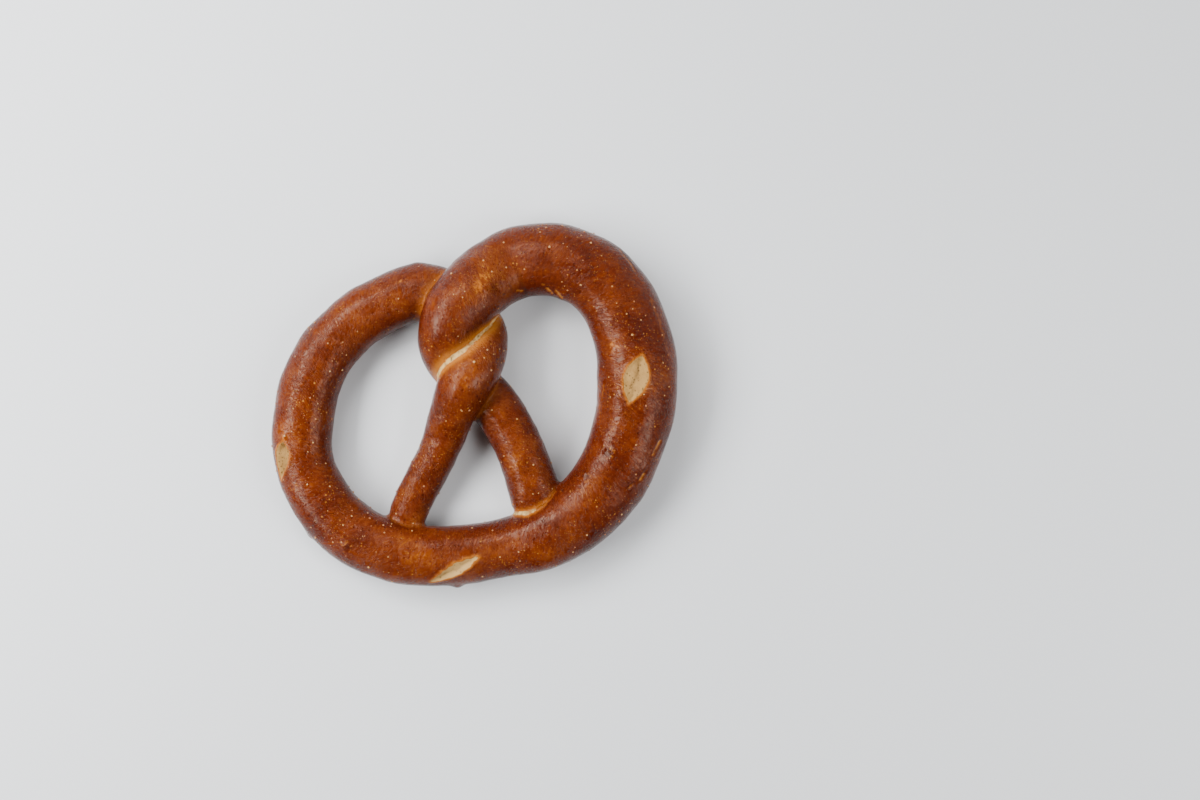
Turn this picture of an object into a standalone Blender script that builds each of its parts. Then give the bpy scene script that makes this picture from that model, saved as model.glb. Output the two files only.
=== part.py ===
"""A soft pretzel: one rope of dough, looped, twisted round itself and laid with its ends under the belly.

Sizes are in millimetres up to the meshes, which are in metres, and +Z is up. The pretzel lies flat,
its twist towards +Y, its belly towards -Y. The origin is under the middle of the pretzel's box.
"""

import math

import bmesh
import bpy
from mathutils import Matrix, Vector

MM = 0.001

# The rope of dough sags while it bakes: its height is this share of its width, and its underside is flat.
HEIGHT_SHARE = 0.88
FLAT_DEPTH = 1.4

# The loop of the pretzel, from behind the twist round the left lobe, the belly and the right lobe, as arcs:
# centre x, centre y, radius, first and last angle in degrees, rope width at the first and at the last.
LOOP_ARCS = (
    (-12.6, -8.7, 50.4, 97, 135, 21.4, 21.4),
    (-12.8, -8.7, 50.6, 155, 176, 22.2, 22.6),
    (-19.5, -10.6, 44.8, 192, 257, 21.8, 23.0),
    (-13.3, 35.0, 91.1, 266, 285, 22.5, 21.6),
    (2.8, 2.8, 56.1, 297, 346, 25.6, 28.6),
    (18.3, 13.0, 41.8, 358, 24, 29.8, 28.4),
    (25.3, 21.2, 32.4, 46, 114, 27.8, 26.2),
)
ARC_STEP_DEG = 22

# The twist: two strands wind half a turn round an axis that runs down the middle of the pretzel. The strand
# that starts on top stays on top for a little longer than half of it, by this share of the half turn.
TWIST_TOP = Vector((-4.5, 35.9))
TWIST_BOTTOM = Vector((-2.3, 9.0))
TWIST_REACH = 5.9
TWIST_HEIGHT = 13.6
TWIST_LIFT = 5.4
TWIST_LAG = 0.1
TWIST_STEPS = 4
LEFT_STRAND_WIDTHS = (19.6, 20.2)
RIGHT_STRAND_WIDTHS = (24.6, 19.0)

# The arms, from the twist to the foot that lies under the belly: x, y, height of the centre, width.
LEFT_ARM = (
    (-7.9, -3.1, 15.0, 17.2),
    (-12.3, -15.3, 11.4, 14.8),
    (-18.5, -27.5, 9.0, 14.3),
    (-24.6, -39.6, 7.2, 14.4),
    (-27.3, -50.0, 6.0, 12.0),
)
RIGHT_ARM = (
    (4.3, 2.8, 8.8, 18.4),
    (12.0, -7.2, 9.4, 18.1),
    (19.1, -22.7, 9.4, 18.4),
    (22.7, -34.5, 8.4, 19.4),
    (25.3, -44.8, 6.8, 17.6),
)

# The baked splits in the crust: name, place in LOOP_ARCS, angle on that arc and lean away from straight up
# in degrees, length, width and depth of the opening, and its turn away from the run of the rope.
SPLITS = (
    ("right_lobe_split", 5, 354.7, -3, 17.8, 9.2, 1.2, -10),
    ("left_lobe_split", 2, 191.1, 39, 14.4, 6.2, 2.2, -21),
    ("belly_split", 3, 273.8, 26, 20.0, 5.0, 1.2, 26),
)
SPLIT_PROFILE_STEPS = 8
SPLIT_SIDES = 12

ROPE_SIDES_RESOLUTION = 4
ROPE_STEPS = 6
SLAB_SIZE = 0.3
WELD = 0.00001


def clear_scene():
    for old in list(bpy.data.objects):
        bpy.data.objects.remove(old)


def new_collection(name):
    collection = bpy.data.collections.new(name)
    bpy.context.scene.collection.children.link(collection)
    return collection


def resting_height(width):
    """The height of the rope's centre where it lies on the table."""
    return HEIGHT_SHARE * width / 2 - FLAT_DEPTH


def arc_place(arc, angle_deg):
    """A point of an arc of the loop: its x, y, height and the rope's width there."""
    centre_x, centre_y, radius, first, last, width_first, width_last = arc
    turn = (last - first) % 360
    share = min(max(((angle_deg - first + 180) % 360 - 180) / turn, 0), 1)
    width = width_first + (width_last - width_first) * share
    angle = math.radians(angle_deg)
    x = centre_x + radius * math.cos(angle)
    y = centre_y + radius * math.sin(angle)
    return x, y, resting_height(width), width


def arc_points(arc):
    first, last = arc[3:5]
    turn = (last - first) % 360
    steps = max(1, round(turn / ARC_STEP_DEG))
    return [arc_place(arc, first + turn * step / steps) for step in range(steps + 1)]


def strand_points(side, widths):
    """Half a turn of the twist, from its top to its bottom. side is -1 for the strand that passes on the left."""
    down = TWIST_BOTTOM - TWIST_TOP
    across = Vector((-down.y, down.x)).normalized()
    points = []
    for step in range(TWIST_STEPS + 1):
        share = step / TWIST_STEPS
        place = TWIST_TOP + down * share + across * side * TWIST_REACH * math.sin(math.pi * share)
        height = TWIST_HEIGHT - side * TWIST_LIFT * math.cos(math.pi * (share - TWIST_LAG))
        width = widths[0] + (widths[1] - widths[0]) * share
        points.append((place.x, place.y, height, width))
    return points


def route():
    """The whole rope, from the left foot to the right foot, as (x, y, z, width) in millimetres."""
    left_arm = list(reversed(LEFT_ARM))
    left_strand = list(reversed(strand_points(1, LEFT_STRAND_WIDTHS)))
    loop = [point for arc in LOOP_ARCS for point in arc_points(arc)]
    right_strand = strand_points(-1, RIGHT_STRAND_WIDTHS)
    return left_arm + left_strand + loop + right_strand + list(RIGHT_ARM)


def rope_curve(points, collection):
    """A tube along the route, widened at each point to the rope's width there and flattened as a whole."""
    data = bpy.data.curves.new("rope", "CURVE")
    data.dimensions = "3D"
    data.twist_mode = "Z_UP"
    data.resolution_u = ROPE_STEPS
    data.bevel_depth = MM
    data.bevel_resolution = ROPE_SIDES_RESOLUTION
    data.use_fill_caps = True
    spline = data.splines.new("BEZIER")
    spline.radius_interpolation = "CARDINAL"
    spline.bezier_points.add(len(points) - 1)
    for knot, (x, y, z, width) in zip(spline.bezier_points, points):
        knot.co = Vector((x, y, z / HEIGHT_SHARE)) * MM
        knot.radius = width / 2
        knot.handle_left_type = "AUTO"
        knot.handle_right_type = "AUTO"
    rope = bpy.data.objects.new("rope", data)
    rope.scale.z = HEIGHT_SHARE
    collection.objects.link(rope)
    return rope


def mesh_from(curve_object, name, collection):
    """The evaluated curve as a closed mesh, with its scale taken into its points."""
    bpy.context.view_layer.update()
    evaluated = curve_object.evaluated_get(bpy.context.evaluated_depsgraph_get())
    mesh = bpy.data.meshes.new_from_object(evaluated)
    mesh.transform(curve_object.matrix_world)
    mesh.name = name
    bpy.data.objects.remove(curve_object)
    body = bmesh.new()
    body.from_mesh(mesh)
    bmesh.ops.remove_doubles(body, verts=body.verts, dist=WELD)
    bmesh.ops.recalc_face_normals(body, faces=body.faces)
    body.to_mesh(mesh)
    body.free()
    made = bpy.data.objects.new(name, mesh)
    collection.objects.link(made)
    return made


def make_cutter(cutter, collection):
    for linked in list(cutter.users_collection):
        linked.objects.unlink(cutter)
    collection.objects.link(cutter)
    cutter.display_type = "WIRE"
    cutter.hide_render = True


def table_slab(collection):
    """The space under the table top, which flattens the underside."""
    bpy.ops.mesh.primitive_cube_add(size=SLAB_SIZE, location=(0, 0, -SLAB_SIZE / 2))
    slab = bpy.context.object
    slab.name = "table_slab"
    make_cutter(slab, collection)
    return slab


def split_frame(arc_number, angle_deg, lean_deg, turn_deg):
    """Where a split lies on the crust: x along its opening, z out of the rope."""
    arc = LOOP_ARCS[arc_number]
    x, y, z, width = arc_place(arc, angle_deg)
    outward = Vector((x - arc[0], y - arc[1], 0)).normalized()
    lean = math.radians(lean_deg)
    across = outward * math.sin(lean) * width / 2
    upward = Vector((0, 0, math.cos(lean) * HEIGHT_SHARE * width / 2))
    normal = (outward * math.sin(lean) * HEIGHT_SHARE + Vector((0, 0, math.cos(lean)))).normalized()
    along = Vector((-outward.y, outward.x, 0))
    along.rotate(Matrix.Rotation(math.radians(turn_deg), 3, normal))
    side = normal.cross(along)
    place = (Vector((x, y, z)) + across + upward) * MM
    return Matrix.Translation(place) @ Matrix((along, side, normal)).transposed().to_4x4()


def split_cutter(name, length, width, depth, frame, collection):
    """A lemon of the split's length, pointed at both ends and pressed flat, sunk by its depth."""
    data = bmesh.new()
    profile = []
    for step in range(SPLIT_PROFILE_STEPS + 1):
        share = 2 * step / SPLIT_PROFILE_STEPS - 1
        profile.append(data.verts.new((share * length / 2, (1 - share * share) * width / 2, 0)))
    edges = [data.edges.new(pair) for pair in zip(profile, profile[1:])]
    bmesh.ops.spin(data, geom=profile + edges, cent=(0, 0, 0), axis=(1, 0, 0),
                   angle=math.tau, steps=SPLIT_SIDES, use_merge=True)
    bmesh.ops.remove_doubles(data, verts=data.verts, dist=WELD / MM)
    bmesh.ops.recalc_face_normals(data, faces=data.faces)
    bmesh.ops.scale(data, verts=data.verts, vec=(1, 1, 2 * depth / width))
    mesh = bpy.data.meshes.new(name)
    data.to_mesh(mesh)
    data.free()
    mesh.transform(Matrix.Scale(MM, 4))
    mesh.transform(frame)
    cutter = bpy.data.objects.new(name, mesh)
    make_cutter(cutter, collection)
    return cutter


def cut(part, cutter):
    difference = part.modifiers.new(cutter.name, "BOOLEAN")
    difference.operation = "DIFFERENCE"
    difference.solver = "EXACT"
    difference.use_self = True
    difference.object = cutter


def crust_material():
    material = bpy.data.materials.new("baked_crust")
    material.use_nodes = True
    shader = material.node_tree.nodes["Principled BSDF"]
    shader.inputs["Base Color"].default_value = (0.22, 0.05, 0.012, 1)
    shader.inputs["Roughness"].default_value = 0.35
    shader.inputs["Metallic"].default_value = 0.0
    return material


def main():
    clear_scene()
    parts = new_collection("soft_pretzel")
    cutters = new_collection("cutters")
    pretzel = mesh_from(rope_curve(route(), parts), "pretzel", parts)
    cut(pretzel, table_slab(cutters))
    for name, arc_number, angle, lean, length, width, depth, turn in SPLITS:
        frame = split_frame(arc_number, angle, lean, turn)
        cut(pretzel, split_cutter(name, length, width, depth, frame, cutters))
    pretzel.data.materials.append(crust_material())
    pretzel.data.shade_smooth()


main()
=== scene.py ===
"""The looks of a soft pretzel: glossy lye-baked crust, pale splits, seams, blisters and pores.

The rope of dough follows the same arcs, twist and arms as the solid. Lengths in the tables below are in
millimetres, the meshes are in metres, +Z is up, and the pretzel lies flat with its twist towards +Y.
Marks on the crust are placed by the pixel of the photograph where they show, on the surface under it.
"""

import math
import random

import bpy
import numpy as np
from mathutils import Matrix, Vector, kdtree, noise
from mathutils.bvhtree import BVHTree


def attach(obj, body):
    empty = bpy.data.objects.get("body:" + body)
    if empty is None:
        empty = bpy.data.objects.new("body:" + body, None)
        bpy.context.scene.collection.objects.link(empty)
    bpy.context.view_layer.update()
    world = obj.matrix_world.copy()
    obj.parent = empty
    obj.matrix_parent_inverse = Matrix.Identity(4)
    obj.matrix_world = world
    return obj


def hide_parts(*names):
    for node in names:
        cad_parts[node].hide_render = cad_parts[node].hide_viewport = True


bl_info = {
    "name": "Soft Pretzel",
    "version": (1, 0, 0),
    "blender": (4, 5, 0),
    "location": "View3D > Sidebar > Pretzel",
    "description": "Builds a baked soft pretzel with its crust, splits and blisters",
    "category": "Object",
}

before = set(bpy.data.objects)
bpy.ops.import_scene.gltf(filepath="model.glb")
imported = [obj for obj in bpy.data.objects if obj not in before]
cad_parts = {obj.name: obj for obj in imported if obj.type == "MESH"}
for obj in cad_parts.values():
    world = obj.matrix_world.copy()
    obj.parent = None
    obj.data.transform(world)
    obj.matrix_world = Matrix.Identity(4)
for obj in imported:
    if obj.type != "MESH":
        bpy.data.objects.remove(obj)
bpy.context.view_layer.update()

MM = 0.001
NODE = "pretzel"
BODY = "root"

# The rope of dough, as the solid has it. An arc of the loop: centre x, centre y, radius, first and last
# angle in degrees, rope width at the first and at the last.
HEIGHT_SHARE = 0.88
FLAT_DEPTH = 1.4
LOOP_ARCS = (
    (-12.6, -8.7, 50.4, 97, 135, 21.4, 21.4),
    (-12.8, -8.7, 50.6, 155, 176, 22.2, 22.6),
    (-19.5, -10.6, 44.8, 192, 257, 21.8, 23.0),
    (-13.3, 35.0, 91.1, 266, 285, 22.5, 21.6),
    (2.8, 2.8, 56.1, 297, 346, 25.6, 28.6),
    (18.3, 13.0, 41.8, 358, 24, 29.8, 28.4),
    (25.3, 21.2, 32.4, 46, 114, 27.8, 26.2),
)
ARC_STEP_DEG = 22
TWIST_TOP = Vector((-4.5, 35.9))
TWIST_BOTTOM = Vector((-2.3, 9.0))
TWIST_REACH = 5.9
TWIST_HEIGHT = 13.6
TWIST_LIFT = 5.4
TWIST_LAG = 0.1
TWIST_STEPS = 4
LEFT_STRAND_WIDTHS = (19.6, 20.2)
RIGHT_STRAND_WIDTHS = (24.6, 19.0)
# An arm, from the twist to its foot under the belly: x, y, height of the centre, width.
LEFT_ARM = (
    (-7.9, -3.1, 15.0, 17.2),
    (-12.3, -15.3, 11.4, 14.8),
    (-18.5, -27.5, 9.0, 14.3),
    (-24.6, -39.6, 7.2, 14.4),
    (-27.3, -50.0, 6.0, 12.0),
)
RIGHT_ARM = (
    (4.3, 2.8, 8.8, 18.4),
    (12.0, -7.2, 9.4, 18.1),
    (19.1, -22.7, 9.4, 18.4),
    (22.7, -34.5, 8.4, 19.4),
    (25.3, -44.8, 6.8, 17.6),
)
ROUTE_STEPS = 12
ROPE_SIDES = 64
ROPE_STEP = 0.8 * MM
# Two points of the rope farther apart than this along it lie on different strands.
STRAND_GAP = 32
# Points of the crust that are handled at once.
BLOCK = 4000

# The camera looks straight down, with the photograph's centre beside the pretzel.
PHOTO_SIZE = (1200, 800)
CAMERA_PLACE = (46.3, 1.7, 625.3)
CAMERA_LENS = 50
CAMERA_SENSOR = 36
PIXELS_PER_RADIAN = PHOTO_SIZE[0] * CAMERA_LENS / CAMERA_SENSOR
PIXEL_MM = 0.3686

# The soft lights: direction round the pretzel and away from straight up in degrees, width and height as
# shares of their distance, and share of the studio's power.
LIGHTS = {
    "left_light": (173, 47, 1.15, 0.42, 0.98),
    "right_light": (342, 45, 0.42, 0.65, 0.26),
    "upper_left_light": (118, 39, 0.60, 0.38, 0.25),
    "back_light": (95, 62, 3.6, 1.6, 0.12),
    "far_right_light": (15, 62, 3.6, 1.6, 0.30),
}
SKY_COLOUR = (0.93, 0.96, 1.0, 1.0)
FLOOR_SIZE = 4
FLOOR_ROUGHNESS = 0.6

# The splits: place in LOOP_ARCS, angle on that arc, lean away from straight up, length, width and depth,
# turn away from the run of the rope, how far the bottom of the split lies to one side, how much wider it is
# towards its end than towards its start, how open the crack in its middle is, and how pale its crumb is.
SPLITS = {
    "right lobe": (5, 354.7, -3, 17.8, 8.9, 0.9, -10, 0.05, 0.1, 0.5, 0.0),
    "left lobe": (2, 191.1, 39, 14.4, 5.6, 2.6, -21, 0.75, -0.5, 0.6, 0.0),
    "belly": (3, 273.8, 26, 20.0, 4.4, 0.8, 26, 0.0, 0.1, 0.3, 0.5),
}

# Shape of every split: how far out of the crust it is looked for, height and size of each unevenness of its
# edge, height, distance from the edge and width of its lip, and depth and half width of its middle crack.
SPLIT_REACH = 6
SPLIT_WOBBLE = ((0.28, 2.1), (0.16, 0.9))
SPLIT_LIP = (0.22, 0.45, 0.6)
CRACK_DEPTH = 0.9
CRACK_WIDTH = 0.42

# Seams where strands have baked together, by pixel: start, end, half width of the bare crumb at the start,
# the middle and the end, and how far the pale glow reaches.
SEAMS = {
    "twist": ((431, 384), (501, 318), (1.0, 1.1, 0.92), 4.6),
    "right foot": ((507, 513), (541, 497), (0.85, 1.1, 0.6), 2.0),
    "right foot end": ((541, 497), (556, 489), (0.55, 0.4, 0.15), 1.6),
    "left foot": ((385, 513), (428, 525), (0.0, 0.1, 0.0), 1.5),
    "behind the twist": ((452, 262), (423, 325), (0.0, 0.12, 0.0), 4.4),
    "under the twist": ((508, 376), (472, 428), (0.0, 0.3, 0.0), 1.8),
}

# Shape of every seam: how far from its line it is looked for, in millimetres and in shares of its length,
# depth of its groove, and the reach from which a seam glows fully.
SEAM_REACH = 8
SEAM_ENDS = 0.15
GROOVE_DEPTH = 0.35
WIDE_GLOW = 4.5

# Soft patches of lighter crust (above 0) and darker crust (below 0), by pixel: x, y, radius, strength.
# Partly the crust's own uneven bake, partly painted shade: the darker patches on the right-hand and lower
# parts stand in for the shade there.
BAKE_AND_SHADE_PATCHES = (
    (482, 277, 4.5, 0.55), (478, 291, 3.0, 0.4), (436, 300, 4.0, 0.3), (452, 366, 8.0, 0.15),
    (500, 345, 6.0, 0.25), (614, 345, 2.2, 0.6), (603, 406, 1.8, 0.6), (667, 378, 3.0, 0.4),
    (284, 434, 3.5, 0.4), (366, 288, 6.0, 0.2), (410, 530, 13.0, 0.2), (352, 330, 6.0, 0.2),
    (300, 470, 6.0, 0.15), (636, 384, 9.0, 0.15), (556, 546, 7.0, 0.3), (548, 568, 3.0, 0.2),
    (500, 265, 5.0, 0.2), (428, 556, 6.0, 0.15), (470, 395, 6.0, 0.15), (512, 470, 6.0, 0.2),
    (532, 482, 6.0, 0.3), (455, 380, 7.0, 0.12), (665, 330, 9.0, -0.3), (640, 320, 11.0, -0.35),
    (600, 268, 12.0, -0.35), (545, 285, 8.0, -0.3), (655, 425, 12.0, -0.4), (600, 545, 13.0, -0.5),
    (630, 505, 10.0, -0.35), (545, 545, 9.0, -0.25), (355, 566, 10.0, -0.4), (313, 520, 9.0, -0.35),
    (452, 330, 8.0, -0.25), (310, 380, 7.0, -0.2), (400, 315, 6.0, -0.25), (560, 240, 10.0, -0.15),
    (425, 478, 7.0, -0.2), (480, 430, 4.0, -0.35), (570, 300, 8.0, -0.2), (600, 455, 9.0, -0.25),
)

# Knobs and hollows, by pixel: x, y, height of the middle or None on top, radius, height out of the crust.
BUMPS = (
    (417, 265, 9, 4.0, 0.6), (304, 330, 8, 5.0, 0.4), (312, 533, 7, 3.2, 1.3),
    (330, 553, 6, 3.0, 0.7), (458, 586, 7, 2.8, 1.4), (284, 436, None, 1.7, 0.7),
    (403, 514, None, 3.0, 0.5), (474, 362, None, 1.3, 0.5), (487, 291, None, 4.0, 0.5),
    (497, 288, None, 3.0, -0.5), (470, 300, None, 2.4, -0.3), (462, 384, None, 6.5, 0.8),
    (450, 411, None, 4.5, -0.4), (445, 459, None, 3.4, 0.35), (436, 440, None, 3.0, -0.3),
    (452, 425, None, 3.0, 0.3), (520, 440, None, 4.0, 0.35), (532, 470, None, 4.0, -0.3),
    (498, 420, None, 3.0, 0.3), (612, 452, None, 2.4, 0.5), (586, 475, None, 1.7, 0.45),
    (300, 446, None, 2.4, 0.3), (347, 547, None, 2.2, 0.5), (377, 563, None, 2.6, 0.3),
    (600, 398, None, 3.0, 0.3), (615, 400, None, 3.0, 0.3), (655, 395, None, 3.5, 0.3),
    (668, 470, 8, 4.0, 0.4),
)
# Burst blisters, by pixel: x, y, radius.
BURST_BLISTERS = ((608, 453, 2.3), (587, 477, 1.6), (347, 547, 2.0))

# Scratches and thin cracks that show the pale dough, by pixel: points, width, depth, strength of the colour.
SCRATCHES = (
    (((661, 441), (653, 455)), 0.9, 0.3, 0.9),
    (((648, 466), (640, 480)), 0.9, 0.3, 0.9),
    (((633, 484), (629, 488)), 0.8, 0.2, 0.7),
    (((620, 250), (632, 265), (637, 275)), 0.7, 0.1, 0.6),
    (((543, 284), (552, 293)), 0.8, 0.3, 1.0),
    (((553, 288), (562, 298)), 0.8, 0.3, 1.0),
    (((651, 300), (660, 322), (667, 352)), 1.3, 0.05, 0.35),
    (((517, 290), (526, 291)), 0.8, 0.2, 0.9),
    (((485, 246), (492, 247)), 0.6, 0.1, 0.6),
    (((391, 289), (396, 286), (401, 281)), 0.8, 0.15, 1.2),
    (((344, 543), (349, 547), (352, 546)), 0.5, 0.1, 0.8),
    (((604, 385), (602, 403)), 0.6, 0.05, 0.5),
    (((626, 322), (624, 329)), 0.9, 0.1, 0.7),
    (((470, 292), (487, 290), (500, 287)), 0.5, 0.3, 0.35),
    (((533, 470), (541, 486)), 0.5, 0.15, 0.3),
    (((616, 426), (610, 431)), 0.6, 0.1, 0.6),
)

# How far the skin's fields are carried: the distance of the farthest crumb, the stretch over which an arm
# grows out of the twist, and the radius by which the angle round the rope becomes a length.
FAR_FROM_CRUMB = 9.0
ARM_ENDS = (48, 62)
MEAN_RADIUS = 11

# Pale blisters as large as a pinhead, by pixel: x, y, radius.
PINHEADS = (
    (451.4, 273.6, 0.65), (491.7, 271.6, 0.5), (483.4, 260.4, 0.5), (524.4, 269.2, 0.45),
    (506.2, 267.4, 0.5), (464.7, 291.5, 0.35), (462.6, 297.3, 0.4), (474.2, 361.9, 0.8),
    (484.2, 357.8, 0.45), (503.7, 350.7, 0.4), (499.5, 349.1, 0.35), (498.3, 308.5, 0.35),
    (632.3, 334.8, 0.65), (626.7, 313.9, 0.45), (612.2, 286.3, 0.5), (641.0, 320.0, 0.4),
    (669.0, 386.8, 0.45), (664.5, 395.5, 0.4), (608.9, 377.1, 0.4), (644.0, 394.5, 0.45),
    (616.7, 303.2, 0.35), (663.0, 362.9, 0.4), (610.4, 397.0, 0.4), (398.4, 298.7, 0.45),
    (329.9, 371.3, 0.5), (293.3, 408.5, 0.4), (284.5, 435.9, 0.7), (291.6, 431.4, 0.35),
    (307.8, 451.8, 0.45), (325.7, 463.4, 0.4), (307.3, 484.5, 0.5), (329.8, 486.4, 0.5),
    (343.1, 525.2, 0.5), (333.0, 542.2, 0.45), (368.6, 567.2, 0.65), (388.1, 556.9, 0.4),
    (311.0, 527.4, 0.35), (581.0, 285.0, 0.45), (587.0, 535.0, 0.6), (500.0, 557.0, 0.5),
    (580.4, 284.6, 0.4), (632.7, 308.9, 0.4), (562.0, 281.8, 0.4), (564.5, 286.0, 0.35),
    (577.0, 270.0, 0.4), (412.0, 531.0, 0.5), (517.0, 419.0, 0.5), (492.0, 410.0, 0.5),
    (504.0, 456.0, 0.45), (462.0, 411.0, 0.45), (446.0, 421.0, 0.4), (461.0, 410.0, 0.4),
    (533.0, 494.0, 0.4), (573.0, 552.0, 0.4), (520.0, 561.0, 0.35),
)


# Properties that a user would change

def length(name, description, default, most, least=0.0):
    """A length that a user can change, with its default and its limits in millimetres."""
    return bpy.props.FloatProperty(
        name=name, description=description, default=default * MM, min=least * MM, max=most * MM, precision=5,
        unit="LENGTH")


def colour(name, description, default):
    return bpy.props.FloatVectorProperty(
        name=name, description=description, default=default, min=0.0, max=1.0, size=3, subtype="COLOR")


class PretzelSizes(bpy.types.PropertyGroup):
    """Sizes of the crust's surface."""

    detail: length("Detail", "Edge length of the crust's mesh", 0.71, 3, 0.4)
    lump_height: length("Lump Height", "How far the dough is uneven", 0.42, 2)
    wrinkle_depth: length("Wrinkle Depth", "Depth of the fine wrinkles in the crust", 0.36, 0.5)
    pore_depth: length("Pore Depth", "Depth of the pores in the bare crumb", 0.40, 1)
    speck_count: bpy.props.IntProperty(
        name="Small Blisters", description="Small blisters scattered over the crust", default=320, min=0,
        max=2000)
    seed: bpy.props.IntProperty(name="Seed", description="Start of every random draw", default=7, min=0)


class PretzelColours(bpy.types.PropertyGroup):
    """Colours of the crust, of the bare crumb and of the blisters."""

    burnt: colour("Darkest Crust", "Colour of the most baked crust", (0.0410, 0.0034, 0.0006))
    dark: colour("Dark Crust", "Colour of well baked crust", (0.0697, 0.0078, 0.0010))
    brown: colour("Brown Crust", "Colour of most of the crust", (0.1049, 0.0160, 0.0016))
    amber: colour("Amber Crust", "Colour of lightly baked crust", (0.1475, 0.0303, 0.0029))
    golden: colour("Golden Crust", "Colour of the crust beside a split", (0.2869, 0.0803, 0.0078))
    bright: colour("Bright Crust", "Colour of the crust right beside a seam", (0.4426, 0.1885, 0.0328))
    speck: colour("Specks", "Colour of the fine specks in the crust", (0.3770, 0.1475, 0.0180))
    underside: colour("Underside", "Colour of the flat, dull underside", (0.1885, 0.0738, 0.0213))
    crumb: colour("Crumb", "Colour of the bare dough in a split", (0.3180, 0.1790, 0.0560))
    toast: colour("Toasted Crumb", "Colour of the browner clouds in the crumb", (0.2131, 0.1025, 0.0279))
    pale_crumb: colour("Pale Crumb", "Colour of fresh bare dough", (0.4918, 0.3197, 0.1230))
    # Painted shade: the darker colour put into the crumb's pores, where shade falls.
    pore_shade: colour("Pores", "Colour inside the pores of the crumb", (0.0984, 0.0451, 0.0131))
    # Painted shade: the dark colour put into deep cracks and holes, where shade falls.
    hole_shade: colour("Holes", "Colour inside the deep cracks and holes", (0.0328, 0.0123, 0.0041))
    blister: colour("Blisters", "Colour of the palest blisters", (0.5082, 0.2951, 0.0984))


class StudioSettings(bpy.types.PropertyGroup):
    """The floor, the soft lights and the sky."""

    power: bpy.props.FloatProperty(
        name="Light", description="Power that each soft light has its share of", default=14.8, min=0.0,
        unit="POWER")
    distance: bpy.props.FloatProperty(
        name="Distance", description="How far the soft lights stand from the pretzel", default=0.7, min=0.3,
        unit="LENGTH")
    sky: bpy.props.FloatProperty(
        name="Sky", description="Strength of the even light from all round", default=0.07, min=0.0)
    floor: colour("Floor", "Colour of the floor", (0.655, 0.672, 0.69))


# Small helpers

def link(name, data):
    made = bpy.data.objects.new(name, data)
    bpy.context.scene.collection.objects.link(made)
    return made


def applied(thing, name):
    """The object's evaluated mesh as a new plain object; the old one goes."""
    bpy.context.view_layer.update()
    depsgraph = bpy.context.evaluated_depsgraph_get()
    mesh = bpy.data.meshes.new_from_object(thing.evaluated_get(depsgraph), depsgraph=depsgraph)
    mesh.name = name
    bpy.data.objects.remove(thing)
    return link(name, mesh)


def feed(tree, socket, value):
    """Give an input a plain value, or link it to a socket."""
    if isinstance(value, bpy.types.NodeSocket):
        tree.links.new(value, socket)
    else:
        socket.default_value = value


def node(tree, kind, inputs=None, **settings):
    """A node with its settings, and each of its inputs given a value or a socket to link from."""
    made = tree.nodes.new(kind)
    for key, value in settings.items():
        setattr(made, key, value)
    for key, value in (inputs or {}).items():
        feed(tree, made.inputs[key], value)
    return made


def maths(tree, operation, first, second=0.0, clamp=False):
    made = node(tree, "ShaderNodeMath", {0: first, 1: second}, operation=operation, use_clamp=clamp)
    return made.outputs[0]


def times(tree, first, second):
    return maths(tree, "MULTIPLY", first, second)


def plus(tree, first, second, clamp=False):
    return maths(tree, "ADD", first, second, clamp)


def minus(tree, first, second, clamp=False):
    return maths(tree, "SUBTRACT", first, second, clamp)


def swing(tree, value, size):
    """A value of 0 to 1 as a swing of a size round its middle."""
    return times(tree, minus(tree, value, 0.5), size)


def blended(tree, share, first, second):
    """A mix of two values."""
    return node(tree, "ShaderNodeMix", {0: share, 2: first, 3: second}, data_type="FLOAT").outputs[0]


def mixed(tree, factor, first, second):
    """A mix of two colours."""
    made = node(tree, "ShaderNodeMix", {"Factor": factor}, data_type="RGBA")
    for socket, value in ((made.inputs[6], first), (made.inputs[7], second)):
        feed(tree, socket, value if isinstance(value, bpy.types.NodeSocket) else (*value, 1.0))
    return made.outputs[2]


def noise_at(tree, place, scale, detail, more=None):
    """Smooth noise of 0 to 1 at a place."""
    inputs = {"Vector": place, "Scale": scale, "Detail": detail, **(more or {})}
    return node(tree, "ShaderNodeTexNoise", inputs).outputs["Fac"]


def ranged(tree, value, low, high, low_to=0.0, high_to=1.0):
    """A value brought from one range to another with a smooth step."""
    return node(tree, "ShaderNodeMapRange", {
        "Value": value, "From Min": low, "From Max": high, "To Min": low_to, "To Max": high_to},
        interpolation_type="SMOOTHSTEP").outputs["Result"]


def set_inputs(modifier, values):
    """Give a Geometry Nodes modifier its inputs, by the names of the group's sockets."""
    for item in modifier.node_group.interface.items_tree:
        if item.item_type == "SOCKET" and item.in_out == "INPUT" and item.name in values:
            modifier[item.identifier] = values[item.name]


def new_tree(name, kind, inputs, outputs):
    """A node group with named inputs, each with its socket type and default, and named outputs."""
    tree = bpy.data.node_groups.new(name, kind)
    for label, kind_of, default in inputs:
        socket = tree.interface.new_socket(label, in_out="INPUT", socket_type="NodeSocket" + kind_of)
        if default is not None:
            socket.default_value = default
    for label, kind_of in outputs:
        tree.interface.new_socket(label, in_out="OUTPUT", socket_type="NodeSocket" + kind_of)
    return tree, tree.nodes.new("NodeGroupInput").outputs


def close_tree(tree, geometry, made_of):
    """End a Geometry Nodes tree in real geometry with its material."""
    real = node(tree, "GeometryNodeRealizeInstances", {"Geometry": geometry})
    coated = node(tree, "GeometryNodeSetMaterial", {
        "Geometry": real.outputs["Geometry"], "Material": made_of})
    node(tree, "NodeGroupOutput", {"Geometry": coated.outputs["Geometry"]})
    return tree


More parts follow.
